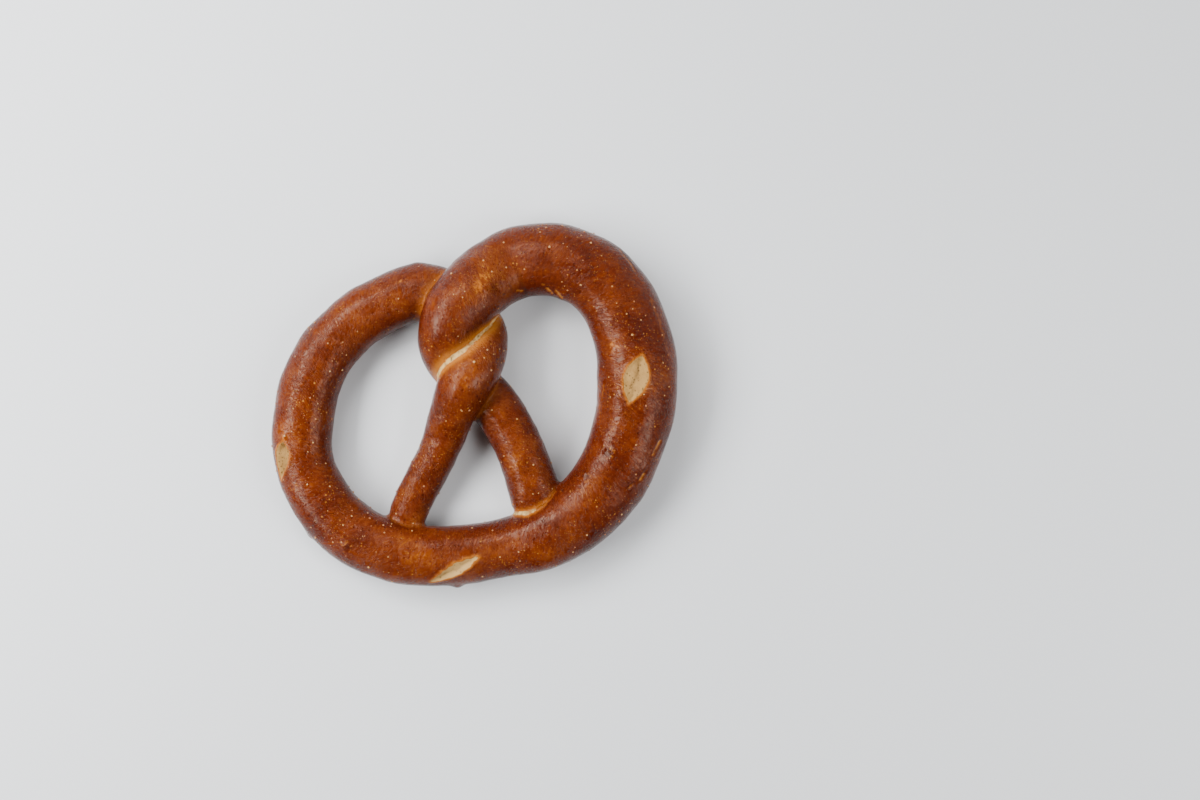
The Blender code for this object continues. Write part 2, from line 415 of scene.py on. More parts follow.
def read_array(items, key, width=1, kind=float):
    """One value of every item, with a row for each item where the value has several numbers."""
    values = np.empty(len(items) * width, kind)
    items.foreach_get(key, values)
    return values.reshape(-1, width) if width > 1 else values


# The rope of dough

def resting_height(width):
    return HEIGHT_SHARE * width / 2 - FLAT_DEPTH


def arc_place(arc, angle_deg):
    """A point of an arc of the loop: its x, y, height and the rope's width there."""
    centre_x, centre_y, radius, first, last, width_first, width_last = arc
    turn = (last - first) % 360
    share = min(max(((angle_deg - first + 180) % 360 - 180) / turn, 0), 1)
    width = width_first + (width_last - width_first) * share
    angle = math.radians(angle_deg)
    x = centre_x + radius * math.cos(angle)
    y = centre_y + radius * math.sin(angle)
    return x, y, resting_height(width), width


def arc_points(arc):
    first, last = arc[3:5]
    turn = (last - first) % 360
    steps = max(1, round(turn / ARC_STEP_DEG))
    return [arc_place(arc, first + turn * step / steps) for step in range(steps + 1)]


def strand_points(side, widths):
    """Half a turn of the twist, from its top to its bottom. side is -1 for the strand on the left."""
    down = TWIST_BOTTOM - TWIST_TOP
    across = Vector((-down.y, down.x)).normalized()
    points = []
    for step in range(TWIST_STEPS + 1):
        share = step / TWIST_STEPS
        place = TWIST_TOP + down * share + across * side * TWIST_REACH * math.sin(math.pi * share)
        height = TWIST_HEIGHT - side * TWIST_LIFT * math.cos(math.pi * (share - TWIST_LAG))
        width = widths[0] + (widths[1] - widths[0]) * share
        points.append((place.x, place.y, height, width))
    return points


def rope_route():
    """The rope as a curve, from the left foot to the right foot, its radius in millimetres at each point."""
    loop = [point for arc in LOOP_ARCS for point in arc_points(arc)]
    points = list(reversed(LEFT_ARM)) + list(reversed(strand_points(1, LEFT_STRAND_WIDTHS)))
    points += loop + strand_points(-1, RIGHT_STRAND_WIDTHS) + list(RIGHT_ARM)
    data = bpy.data.curves.new("rope_route", "CURVE")
    data.dimensions = "3D"
    data.twist_mode = "Z_UP"
    data.resolution_u = 2 * ROUTE_STEPS
    spline = data.splines.new("BEZIER")
    spline.radius_interpolation = "CARDINAL"
    spline.bezier_points.add(len(points) - 1)
    for knot, (x, y, z, width) in zip(spline.bezier_points, points):
        knot.co = Vector((x, y, z / HEIGHT_SHARE)) * MM
        knot.radius = width / 2
        knot.handle_left_type = "AUTO"
        knot.handle_right_type = "AUTO"
    return link("rope_route", data)


def centreline(route):
    """The middle of the rope at every millimetre or so: places before the rope is pressed flat, and radii."""
    bpy.context.view_layer.update()
    knots = list(route.data.splines[0].bezier_points)
    places = []
    radii = []
    for first, last in zip(knots, knots[1:]):
        ends = [np.array(end) / MM for end in (first.co, first.handle_right, last.handle_left, last.co)]
        for step in range(ROUTE_STEPS):
            t = step / ROUTE_STEPS
            weights = ((1 - t) ** 3, 3 * (1 - t) ** 2 * t, 3 * (1 - t) * t * t, t ** 3)
            places.append(sum(weight * end for weight, end in zip(weights, ends)))
            radii.append(first.radius + (last.radius - first.radius) * t * t * (3 - 2 * t))
    places.append(np.array(knots[-1].co) / MM)
    radii.append(knots[-1].radius)
    return np.array(places), np.array(radii)


def rope_tree():
    """A tube along the route, round in section, then pressed flat by a share of its height."""
    tree, given = new_tree("Dough Rope", "GeometryNodeTree", (
        ("Geometry", "Geometry", None), ("Sides", "Int", ROPE_SIDES),
        ("Step", "Float", ROPE_STEP), ("Height Share", "Float", HEIGHT_SHARE),
        ("Material", "Material", None)), (("Geometry", "Geometry"),))
    even = node(tree, "GeometryNodeResampleCurve", {"Curve": given["Geometry"], "Length": given["Step"]},
                mode="LENGTH")
    ring = node(tree, "GeometryNodeCurvePrimitiveCircle", {"Resolution": given["Sides"], "Radius": MM})
    radius = node(tree, "GeometryNodeInputRadius").outputs["Radius"]
    tube = node(tree, "GeometryNodeCurveToMesh", {
        "Curve": even.outputs["Curve"], "Profile Curve": ring.outputs["Curve"], "Scale": radius,
        "Fill Caps": True})
    size = node(tree, "ShaderNodeCombineXYZ", {"X": 1.0, "Y": 1.0, "Z": given["Height Share"]})
    pressed = node(tree, "GeometryNodeTransform", {
        "Geometry": tube.outputs["Mesh"], "Scale": size.outputs["Vector"]})
    return close_tree(tree, pressed.outputs["Geometry"], given["Material"])


# The shape of the crust, worked out for every point of its mesh

def step_up(values, low, high):
    """0 below low, 1 above high, and a smooth step between."""
    share = np.clip((values - low) / (high - low), 0, 1)
    return share * share * (3 - 2 * share)


def hump(distance, radius):
    """1 at distance 0, falling off smoothly over the radius."""
    return np.exp(-(distance / radius) ** 2)


def raise_to(values, least, near=slice(None)):
    """Lift an array to at least the given values, in all of it or near something only."""
    values[near] = np.maximum(values[near], least)


def pixels_away(seen, x, y):
    """Distance from a pixel of the photograph, in millimetres."""
    return np.hypot(seen[:, 0] - x, seen[:, 1] - y) * PIXEL_MM


def noise_field(places, size, seed, octaves=1):
    """Smooth noise of about -1 to 1 whose lumps are about size millimetres wide."""
    offset = Vector((seed * 17.3, seed * 5.7, seed * 11.1))
    values = np.empty(len(places))
    for i, place in enumerate(places / size):
        values[i] = noise.fractal(Vector(place) + offset, 1.0, 2.0, octaves)
    return values


def seen_pixels(places):
    """Where the photograph's camera sees each place, in the photograph's pixels."""
    depth = CAMERA_PLACE[2] - places[:, 2]
    x = PHOTO_SIZE[0] / 2 + (places[:, 0] - CAMERA_PLACE[0]) * PIXELS_PER_RADIAN / depth
    y = PHOTO_SIZE[1] / 2 - (places[:, 1] - CAMERA_PLACE[1]) * PIXELS_PER_RADIAN / depth
    return np.stack((x, y), axis=1)


def line_distance(points, start, end):
    """Distance of points from a line between two points, and how far along it they lie, from 0 to 1."""
    start = np.array(start, float)
    run = np.array(end, float) - start
    share = ((points - start) @ run) / (run @ run)
    nearest = start + np.clip(share, 0, 1)[:, None] * run
    return np.linalg.norm(points - nearest, axis=1), share


class Crust:
    """The crust's mesh as arrays in millimetres, with a field for each thing that its material needs."""

    def __init__(self, body, centres, radii):
        self.mesh = body.data
        self.places = read_array(self.mesh.vertices, "co", 3) / MM
        self.edges = read_array(self.mesh.edges, "vertices", 2, int)
        self.links = np.bincount(self.edges.ravel(), minlength=len(self.places))
        self.centres = centres
        self.radii = radii

    def around_average(self, values):
        """Each point's average over its neighbours."""
        first, last = self.edges.T
        count = len(self.places)
        total = np.bincount(first, values[last], count) + np.bincount(last, values[first], count)
        return total / np.maximum(self.links, 1)

    def relax(self, rounds, where=1.0):
        """Draw each point towards the middle of its neighbours, fully or by a share of that."""
        for _ in range(rounds):
            for axis in range(3):
                values = self.places[:, axis]
                self.places[:, axis] = values + (self.around_average(values) - values) * 0.5 * where

    def even_out(self, values, rounds):
        """Values smoothed over the mesh."""
        for _ in range(rounds):
            values = (values + self.around_average(values)) / 2
        return values

    def store(self):
        """Write the places back and refresh the normals."""
        self.mesh.vertices.foreach_set("co", (self.places * MM).ravel())
        self.mesh.update()
        self.normals = read_array(self.mesh.vertices, "normal", 3)

    def push(self, heights):
        """Move each point out of the crust by its height."""
        self.places += self.normals * heights[:, None]

    def find_strands(self):
        """For each point: its place along the rope, its angle round it, and its distance from a seam."""
        pressed = self.places / (1, 1, HEIGHT_SHARE)
        steps = np.linalg.norm(np.diff(self.centres, axis=0), axis=1)
        lengths = np.concatenate(([0], np.cumsum(steps)))
        owner = np.empty(len(pressed), int)
        for start in range(0, len(pressed), BLOCK):
            away = np.linalg.norm(pressed[start:start + BLOCK, None] - self.centres[None], axis=2)
            owner[start:start + BLOCK] = (away - self.radii[None]).argmin(axis=1)
        tangent = np.gradient(self.centres, axis=0)
        tangent /= np.linalg.norm(tangent, axis=1)[:, None]
        side = np.cross(tangent, (0, 0, 1.0))
        side /= np.linalg.norm(side, axis=1)[:, None]
        up = np.cross(side, tangent)
        off = pressed - self.centres[owner]
        self.along = lengths[owner] + (off * tangent[owner]).sum(1)
        self.around = np.arctan2((off * side[owner]).sum(1), (off * up[owner]).sum(1))
        self.length = lengths[-1]
        first, last = self.edges.T
        crossing = np.abs(lengths[owner[first]] - lengths[owner[last]]) > STRAND_GAP
        middles = (self.places[first[crossing]] + self.places[last[crossing]]) / 2
        tree = kdtree.KDTree(len(middles))
        for i, middle in enumerate(middles):
            tree.insert(middle, i)
        tree.balance()
        self.seam = np.array([tree.find(place)[2] for place in self.places])
        self.seam = self.even_out(self.seam, 4)


def split_frame(arc_number, angle_deg, lean_deg, turn_deg):
    """Where a split lies on the crust, in millimetres: x along its opening, z out of the rope."""
    arc = LOOP_ARCS[arc_number]
    x, y, z, width = arc_place(arc, angle_deg)
    outward = Vector((x - arc[0], y - arc[1], 0)).normalized()
    lean = math.radians(lean_deg)
    across = outward * math.sin(lean) * width / 2
    upward = Vector((0, 0, math.cos(lean) * HEIGHT_SHARE * width / 2))
    normal = (outward * math.sin(lean) * HEIGHT_SHARE + Vector((0, 0, math.cos(lean)))).normalized()
    along = Vector((-outward.y, outward.x, 0))
    along.rotate(Matrix.Rotation(math.radians(turn_deg), 3, normal))
    side = normal.cross(along)
    place = Vector((x, y, z)) + across + upward
    return Matrix.Translation(place) @ Matrix((along, side, normal)).transposed().to_4x4()


def carve_splits(crust, fields):
    """The baked splits: a bare, sunken lens of crumb with a thin lip of crust round it."""
    for arc_number, angle, lean, length, width, depth, turn, slant, skew, crack, paleness in SPLITS.values():
        to_split = np.array(split_frame(arc_number, angle, lean, turn).inverted())
        local = crust.places @ to_split[:3, :3].T + to_split[:3, 3]
        near = (np.abs(local) < (length, width, SPLIT_REACH)).all(axis=1)
        local = local[near]
        u = local[:, 0]
        w = local[:, 1]
        ragged = np.zeros(len(local))
        for i, (height, size) in enumerate(SPLIT_WOBBLE):
            ragged += height * noise_field(local, size, angle + i)
        ragged *= 1 + 2 * paleness
        share = np.clip(np.abs(2 * u / length), 0, 1.4)
        half = width / 2 * (1 - share ** 2) * (1 + skew * np.clip(2 * u / length, -1, 1))
        beyond = np.maximum(share - 1, 0) * length / 2
        edge = np.hypot(np.maximum(np.abs(w) - np.maximum(half, 0), 0), beyond)
        inside = np.minimum(half - np.abs(w), 0.8 * (1 - share) * length / 2)
        distance = np.where(edge > 0, edge, -inside) + ragged
        across = np.clip(w / np.maximum(half, 0.4), -1, 1)
        bowl = np.clip(1 - (across - slant) ** 2 / (1 + abs(slant)) ** 2, 0, 1) ** 0.7
        sunk = -depth * bowl * step_up(-distance, -0.1, 1.1)
        lip_height, lip_place, lip_width = SPLIT_LIP
        lip = lip_height * hump(distance - lip_place, lip_width)
        # The crack wanders down the middle, comes and goes, and has pits on both sides; crack and pits get
        # painted shade.
        crack_line = np.abs(w - (0.35 * np.sin(u * 0.9 + angle) + slant * half))
        broken = 0.6 + 0.7 * noise_field(local, 1.6, angle + 2)
        pits = step_up(noise_field(local, 0.9, angle + 3), 0.3 - 0.2 * paleness, 0.55)
        pits *= hump(crack_line, 1.7)
        gap = np.maximum(hump(crack_line, CRACK_WIDTH + abs(slant)) * broken, 0.8 * pits)
        gap *= step_up(-distance, 0.6, 1.8) * crack
        crust.heights[near] += sunk + lip - CRACK_DEPTH * gap
        fields["crumb_edge"][near] = np.minimum(fields["crumb_edge"][near], distance)
        # The crack and its pits are painted dark: painted shade in the crumb.
        raise_to(fields["hole_shade"], np.clip(1.7 * gap, 0, 1), near)
        raise_to(fields["glow"], 0.75 * hump(np.maximum(distance, 0), 1.0), near)
        raise_to(fields["pale"], paleness * step_up(-distance, -0.5, 0.0), near)


def carve_seams(crust, fields, seen):
    """Seams between strands: a groove, bare crumb along the wide ones, and pale crust on both sides."""
    top = step_up(crust.normals[:, 2], -0.25, 0.1)
    wobble = 0.3 * noise_field(crust.places, 2.6, 31) + 0.18 * noise_field(crust.places, 1.0, 32)
    for start, end, halves, reach in SEAMS.values():
        aside, share = line_distance(seen, start, end)
        near = (aside * PIXEL_MM < SEAM_REACH) & (share > -SEAM_ENDS) & (share < 1 + SEAM_ENDS)
        near &= crust.seam < FAR_FROM_CRUMB
        seam = crust.seam[near]
        half = np.interp(np.clip(share[near], 0, 1), (0, 0.4, 1), halves)
        beyond = np.maximum(np.abs(share[near] - 0.5) - 0.5, 0) * 2
        distance = seam - half + 0.4 * wobble[near] * np.minimum(half, 1) + beyond * 20 + 0.35
        fade = top[near] * (1 - np.clip(beyond * 6, 0, 1))
        crumb = np.where(half > 0.12, distance + (1 - top[near]) * 5, FAR_FROM_CRUMB)
        fields["crumb_edge"][near] = np.minimum(fields["crumb_edge"][near], crumb)
        raise_to(fields["pale"], step_up(half, 0.3, 0.8), near)
        pits = step_up(noise_field(crust.places[near], 0.9, 33), -0.05, 0.2) * hump(seam - 0.3, 0.4)
        # Deep pits in the seam's crumb get painted shade.
        raise_to(fields["hole_shade"], 0.7 * pits * (half > 0.6), near)
        glow = hump(np.maximum(distance, 0), reach / 1.5) * fade
        raise_to(fields["glow"], glow * (0.8 if reach > WIDE_GLOW else 0.55), near)
        crust.heights[near] -= GROOVE_DEPTH * hump(seam, 0.7 + half) * fade


def mark_crust(crust, fields, seen):
    """Patches of lighter and darker crust, partly painted shade, knobs, burst blisters and scratches."""
    facing = step_up(crust.normals[:, 2], -0.3, 0.05)
    # Lighter and darker patches; the darker ones on the right-hand and lower parts are painted shade.
    for x, y, radius, strength in BAKE_AND_SHADE_PATCHES:
        fields["bake_and_shade"] += strength * hump(pixels_away(seen, x, y), radius) * facing
    for x, y, height, radius, rise in BUMPS:
        away = pixels_away(seen, x, y)
        if height is None:
            crust.heights += rise * hump(away, radius * 0.7) * facing
        else:
            crust.heights += rise * hump(np.hypot(away, crust.places[:, 2] - height), radius * 0.8)
    for x, y, radius in BURST_BLISTERS:
        ragged = pixels_away(seen, x, y) + 0.45 * radius * noise_field(crust.places, 0.9 * radius, x)
        crust.heights += facing * (0.2 * hump(ragged - radius * 0.8, 0.4) - 0.4 * hump(ragged, radius * 0.6))
        fields["bake_and_shade"] -= 0.7 * hump(ragged, radius * 0.6) * facing
        broken_rim = hump(ragged - radius, 0.4) * step_up(noise_field(crust.places, 1.4, x + 1), -0.2, 0.3)
        raise_to(fields["glow"], 0.75 * broken_rim * facing)
    for points, width, depth, strength in SCRATCHES:
        away = np.full(len(seen), 1e3)
        for start, end in zip(points, points[1:]):
            away = np.minimum(away, line_distance(seen, start, end)[0] * PIXEL_MM)
        near = away < 4
        broken = away[near] + 0.3 * width * noise_field(crust.places[near], 0.9, points[0][0])
        gaps = step_up(noise_field(crust.places[near], 2.2, points[0][1]), -0.45, 0.0)
        line = hump(broken, width * 0.5) * facing[near] * gaps
        crust.heights[near] -= depth * line
        crust.heights[near] += 0.5 * depth * hump(broken - width, width * 0.5) * facing[near]
        raise_to(fields["glow"], strength * line, near)
    for x, y, radius in PINHEADS:
        raise_to(fields["glow"], 0.45 * hump(pixels_away(seen, x, y), radius) * facing)


def shape_crust(body, centres, radii, sizes):
    """Displace the joined rope and store what its material reads."""
    crust = Crust(body, centres, radii)
    crust.relax(4)
    crust.find_strands()
    crust.relax(6, where=hump(crust.seam, 1.6))
    crust.store()
    seen = seen_pixels(crust.places)
    fields = {name: np.zeros(len(crust.places)) for name in ("crumb_edge", "glow", "hole_shade", "bake_and_shade", "pale")}
    fields["crumb_edge"] += FAR_FROM_CRUMB
    lump = sizes.lump_height / MM
    inner, outer = ARM_ENDS
    arm = np.maximum(step_up(-crust.along, -outer, -inner),
                     step_up(crust.along, crust.length - outer, crust.length - inner))
    # Lumps of four sizes; the second finest only on the arms.
    crust.heights = lump * noise_field(crust.places, 15, 3) + 0.45 * lump * noise_field(crust.places, 6, 5)
    crust.heights += 0.35 * lump * arm * noise_field(crust.places, 3.2, 8)
    crust.heights += 0.07 * noise_field(crust.places, 2.4, 9)
    carve_splits(crust, fields)
    carve_seams(crust, fields, seen)
    mark_crust(crust, fields, seen)
    crust.push(crust.heights)
    crust.places[:, 2] = rest_on_table(crust.places[:, 2])
    crust.store()
    # The crust bakes unevenly at random; painted shade then makes it darker on its slopes than on top.
    fields["bake_and_shade"] += 0.35 * noise_field(crust.places, 13, 21, 2) + 0.2 * noise_field(crust.places, 5, 22, 2)
    fields["bake_and_shade"] -= 0.32 * step_up(-crust.normals[:, 2], -0.92, -0.45)
    fields["steep"] = 0.7 * step_up(-crust.normals[:, 2], -0.5, -0.1)
    fields["under"] = step_up(-crust.normals[:, 2], 0.45, 0.9) * step_up(-crust.places[:, 2], -6.5, -2.5)
    fields["along"] = crust.along
    fields["around"] = crust.around * MEAN_RADIUS
    for name, values in fields.items():
        crust.mesh.attributes.new(name, "FLOAT", "POINT").data.foreach_set("value", values)


def rest_on_table(heights):
    """Heights with all that hangs below the table pressed flat on it, through a small soft edge."""
    soft = 0.35
    pressed = (heights + np.sqrt(heights ** 2 + soft ** 2)) / 2
    return pressed - pressed.min()


# Materials

# Cloudy variations: clouds per metre, detail, warp, and the low and high ends of the soft step.
MOTTLES = {
    "clouds": (110.0, 3.0, 0.5, 0.28, 0.72),
    "flecks": (900.0, 3.0, 0.3, 0.25, 0.75),
    "speckled zones": (95.0, 2.0, 0.0, 0.46, 0.7),
    "wrinkled zones": (60.0, 2.0, 0.3, 0.35, 0.65),
    "toast": (330.0, 4.0, 0.5, 0.35, 0.75),
    "browned blisters": (700.0, 3.0, 0.3, 0.3, 0.7),
}
# Specks: cells per metre, share of the cells that hold one, and its largest radius as a share of a cell.
SPECKS = {
    "pits": (900.0, 0.42, 0.62),
    "small": (760.0, 0.30, 0.36),
    "tiny": (1700.0, 0.5, 0.5),
}
# How baked the crust is: its middle, what each variation adds, and where each colour lies from 0 to 1. The
# pits take tone away as painted shade, and the bake field carries painted shade as well as bake.
TONE_MIDDLE = 0.38
TONE = {"clouds": 0.26, "flecks": 0.22, "streaks": 0.2, "pits": 0.16, "bake_and_shade": 0.55}
TONE_STEPS = ((0.0, "burnt"), (0.30, "dark"), (0.58, "brown"), (0.82, "amber"), (1.0, "golden"))
# Gloss: the roughness of smooth crust, what flecks and streaks add, and that of crumb and underside.
SMOOTH = 0.09
ROUGHER = {"flecks": 0.10, "streaks": 0.06}
DULL = 0.8
GLAZE = 0.02
GLAZE_ROUGHNESS = 0.15
SHINE = 0.17
WARM_SHINE = (1.0, 0.84, 0.64, 1.0)
# Fine relief, as shares of the wrinkles' depth: cracks between the wrinkles, grain, specks and pits.
RELIEF = {"cracks": 0.5, "grain": 0.08, "specks": 0.2, "pits": 0.5}
BLISTER_ROUGHNESS = 0.38
BLISTER_GLAZE = 0.25
BLISTER_GRAIN = 0.04 * MM


def mottle_group():
    """Cloudy variation: how far a place is from the average, with soft or hard edges."""
    tree, given = new_tree("Baked Mottle", "ShaderNodeTree", (
        ("Vector", "Vector", None), ("Clouds per Metre", "Float", 100.0), ("Detail", "Float", 3.0),
        ("Warp", "Float", 0.4), ("Low", "Float", 0.35), ("High", "Float", 0.65)), (("Value", "Float"),))
    cloud = noise_at(tree, given["Vector"], given["Clouds per Metre"], given["Detail"],
                     {"Distortion": given["Warp"]})
    node(tree, "NodeGroupOutput", {"Value": ranged(tree, cloud, given["Low"], given["High"])})
    return tree


def speckle_group():
    """Round specks of many sizes: a mask that is 1 on a speck."""
    tree, given = new_tree("Crust Specks", "ShaderNodeTree", (
        ("Vector", "Vector", None), ("Cells per Metre", "Float", 900.0), ("Share", "Float", 0.3),
        ("Radius", "Float", 0.3)), (("Mask", "Float"),))
    cells = node(tree, "ShaderNodeTexVoronoi", {"Vector": given["Vector"], "Scale": given["Cells per Metre"]})
    draw = node(tree, "ShaderNodeSeparateColor", {"Color": cells.outputs["Color"]})
    chosen = maths(tree, "LESS_THAN", draw.outputs["Red"], given["Share"])
    reach = times(tree, draw.outputs["Green"], given["Radius"])
    dot = ranged(tree, cells.outputs["Distance"], times(tree, reach, 0.5), reach, 1.0, 0.0)
    node(tree, "NodeGroupOutput", {"Mask": times(tree, dot, chosen)})
    return tree


def wrinkle_group():
    """Fine wrinkles that run across the rope: a height of about 0 to 1."""
    tree, given = new_tree("Crust Wrinkles", "ShaderNodeTree", (
        ("Along", "Float", 0.0), ("Around", "Float", 0.0), ("Vector", "Vector", None),
        ("Spacing", "Float", 0.8), ("Length", "Float", 3.0), ("Slant", "Float", 0.4)), (("Height", "Float"),))
    sway = noise_at(tree, given["Vector"], 160.0, 1.0)
    swung = plus(tree, times(tree, sway, 5.0), given["Along"])
    leant = plus(tree, times(tree, given["Around"], given["Slant"]), swung)
    place = node(tree, "ShaderNodeCombineXYZ", {
        "X": maths(tree, "DIVIDE", leant, given["Spacing"]),
        "Y": maths(tree, "DIVIDE", given["Around"], given["Length"])})
    ridges = noise_at(tree, place.outputs["Vector"], 1.0, 2.5, {"Roughness": 0.55})
    node(tree, "NodeGroupOutput", {"Height": ridges})
    return tree


def pore_group():
    """Open pores of baked crumb: a height that dips in each of them, and a mask of the deep ones."""
    tree, given = new_tree("Crumb Pores", "ShaderNodeTree", (
        ("Vector", "Vector", None), ("Pores per Metre", "Float", 900.0), ("Openness", "Float", 0.4)),
        (("Height", "Float"), ("Mask", "Float")))
    fibres = noise_at(tree, given["Vector"], given["Pores per Metre"], 3.0, {"Roughness": 0.6})
    bubbles = node(tree, "ShaderNodeTexVoronoi", {
        "Vector": given["Vector"], "Scale": given["Pores per Metre"], "Randomness": 1.0})
    draw = node(tree, "ShaderNodeSeparateColor", {"Color": bubbles.outputs["Color"]})
    wide = times(tree, draw.outputs["Blue"], given["Openness"])
    mask = ranged(tree, bubbles.outputs["Distance"], times(tree, wide, 0.4), wide, 1.0, 0.0)
    height = minus(tree, times(tree, fibres, 0.6), mask)
    node(tree, "NodeGroupOutput", {"Height": height, "Mask": mask})
    return tree


def material(name):
    """A new material and its tree, with the Principled BSDF that it starts with."""
    made = bpy.data.materials.new(name)
    made.use_nodes = True
    return made, made.node_tree, made.node_tree.nodes["Principled BSDF"]


def grouped(tree, group, inputs):
    """The outputs of a group node."""
    return node(tree, "ShaderNodeGroup", inputs, node_tree=group).outputs


def mottled(tree, shared, place, kind):
    names = ("Clouds per Metre", "Detail", "Warp", "Low", "High")
    return grouped(tree, shared["mottle"], {"Vector": place, **dict(zip(names, MOTTLES[kind]))})["Value"]


def speckled(tree, shared, place, kind):
    names = ("Cells per Metre", "Share", "Radius")
    return grouped(tree, shared["specks"], {"Vector": place, **dict(zip(names, SPECKS[kind]))})["Mask"]


def field(tree, name):
    return node(tree, "ShaderNodeAttribute", attribute_name=name, attribute_type="GEOMETRY").outputs["Fac"]


def colour_steps(tree, value, steps):
    """A colour ramp with steps of a position and a colour."""
    ramp = node(tree, "ShaderNodeValToRGB", {"Fac": value})
    marks = ramp.color_ramp.elements
    while len(marks) < len(steps):
        marks.new(0.5)
    for mark, (position, colour) in zip(marks, steps):
        mark.position = position
        mark.color = (*colour, 1.0)
    return ramp.outputs["Color"]


def groups():
    """The shader groups, built once."""
    return {
        "mottle": mottle_group(), "specks": speckle_group(), "wrinkles": wrinkle_group(),
        "pores": pore_group()}


def crust_colour(tree, colours, marks):
    """Brown crust, golden beside the splits, with specks; marks holds the masks that the relief shares."""
    tone = plus(tree, times(tree, marks["clouds"], TONE["clouds"]), TONE_MIDDLE)
    tone = plus(tree, tone, swing(tree, marks["flecks"], TONE["flecks"]))
    tone = plus(tree, tone, swing(tree, marks["streaks"], TONE["streaks"]))
    # Painted shade in the pits of the relief.
    tone = minus(tree, tone, times(tree, marks["pits"], TONE["pits"]))
    # The bake field adds the uneven bake and the painted shade of the slopes and the darker patches.
    tone = plus(tree, tone, times(tree, field(tree, "bake_and_shade"), TONE["bake_and_shade"]), clamp=True)
    crust = colour_steps(tree, tone, [(position, getattr(colours, name)) for position, name in TONE_STEPS])
    crust = mixed(tree, marks["specks"], crust, colours.speck)
    glow = field(tree, "glow")
    halo = ranged(tree, plus(tree, glow, swing(tree, marks["flecks"], 0.12)), 0.04, 0.9)
    crust = mixed(tree, halo, crust, colours.golden)
    return mixed(tree, ranged(tree, glow, 0.45, 1.3), crust, colours.bright)


def crumb_colour(tree, shared, colours, place, pores):
    """Bare dough, toasted in clouds, paler where it is fresh, with painted shade in its pores and holes."""
    toast = mottled(tree, shared, place, "toast")
    crumb = mixed(tree, times(tree, toast, 0.5), colours.crumb, colours.toast)
    crumb = mixed(tree, field(tree, "pale"), crumb, colours.pale_crumb)
    # Painted shade in the pores.
    crumb = mixed(tree, times(tree, pores["Mask"], 0.45), crumb, colours.pore_shade)
    # Painted shade in the cracks and holes.
    return mixed(tree, times(tree, field(tree, "hole_shade"), 0.85), crumb, colours.hole_shade)


def crust_relief(tree, shared, place, marks):
    """Height of the wrinkled skin, in shares of the wrinkles' depth, calmer on steep sides."""
    zones = mottled(tree, shared, place, "wrinkled zones")
    cracks = ranged(tree, maths(tree, "ABSOLUTE", minus(tree, marks["wrinkles"], 0.5)), 0.0, 0.07)
    strength = plus(tree, times(tree, zones, 0.6), 0.3)
    skin = times(tree, plus(tree, marks["wrinkles"], times(tree, cracks, RELIEF["cracks"])), strength)
    skin = plus(tree, skin, times(tree, noise_at(tree, place, 1300.0, 1.0), RELIEF["grain"]))
    skin = plus(tree, skin, times(tree, marks["specks"], RELIEF["specks"]))
    skin = minus(tree, skin, times(tree, marks["pits"], RELIEF["pits"]))
    return times(tree, skin, minus(tree, 1.0, field(tree, "steep")))


def crust_material(shared, colours, sizes):
    """Glossy brown crust, golden beside the splits, with bare crumb in them and a dull underside."""
    made, tree, shader = material("lye_baked_crust")
    place = node(tree, "ShaderNodeTexCoord").outputs["Object"]
    under = field(tree, "under")
    wrinkles = grouped(tree, shared["wrinkles"], {
        "Along": field(tree, "along"), "Around": field(tree, "around"), "Vector": place, "Spacing": 0.95,
        "Length": 3.0, "Slant": 0.45})["Height"]
    marks = {kind: mottled(tree, shared, place, kind) for kind in ("clouds", "flecks")}
    marks["wrinkles"] = wrinkles
    marks["streaks"] = ranged(tree, wrinkles, 0.32, 0.68)
    marks["pits"] = speckled(tree, shared, place, "pits")
    tiny = times(tree, speckled(tree, shared, place, "tiny"), 0.6)
    specks = times(tree, maths(tree, "MAXIMUM", speckled(tree, shared, place, "small"), tiny), 0.75)
    zones = plus(tree, mottled(tree, shared, place, "speckled zones"), 0.25)
    marks["specks"] = times(tree, specks, zones)
    crust = crust_colour(tree, colours, marks)

    pores = grouped(tree, shared["pores"], {"Vector": place, "Pores per Metre": 1100.0, "Openness": 0.42})
    rim = plus(tree, field(tree, "crumb_edge"), swing(tree, noise_at(tree, place, 1500.0, 2.0), 0.5))
    bare = ranged(tree, rim, -0.18, 0.12, 1.0, 0.0)
    rind = ranged(tree, rim, -0.2, 0.75, 1.0, 0.0)
    crust = mixed(tree, times(tree, rind, 0.75), crust, colours.golden)
    colour = mixed(tree, bare, crust, crumb_colour(tree, shared, colours, place, pores))
    dull = mixed(tree, times(tree, marks["clouds"], 0.5), colours.underside, colours.brown)
    feed(tree, shader.inputs["Base Color"], mixed(tree, under, colour, dull))

    covered = maths(tree, "MAXIMUM", bare, times(tree, under, 0.9))
    worn = SMOOTH
    for kind, share in ROUGHER.items():
        worn = plus(tree, times(tree, marks[kind], share), worn)
    feed(tree, shader.inputs["Roughness"], blended(tree, covered, worn, DULL))
    feed(tree, shader.inputs["Coat Weight"], times(tree, minus(tree, 1.0, covered, clamp=True), GLAZE))
    shader.inputs["Coat Roughness"].default_value = GLAZE_ROUGHNESS
    shader.inputs["Specular IOR Level"].default_value = SHINE
    shader.inputs["Specular Tint"].default_value = WARM_SHINE

    skin = crust_relief(tree, shared, place, marks)
    crumb_height = times(tree, pores["Height"], sizes.pore_depth / sizes.wrinkle_depth)
    relief = node(tree, "ShaderNodeBump", {
        "Height": blended(tree, covered, skin, crumb_height), "Distance": sizes.wrinkle_depth,
        "Strength": 1.0})
    feed(tree, shader.inputs["Normal"], relief.outputs["Normal"])
    return made


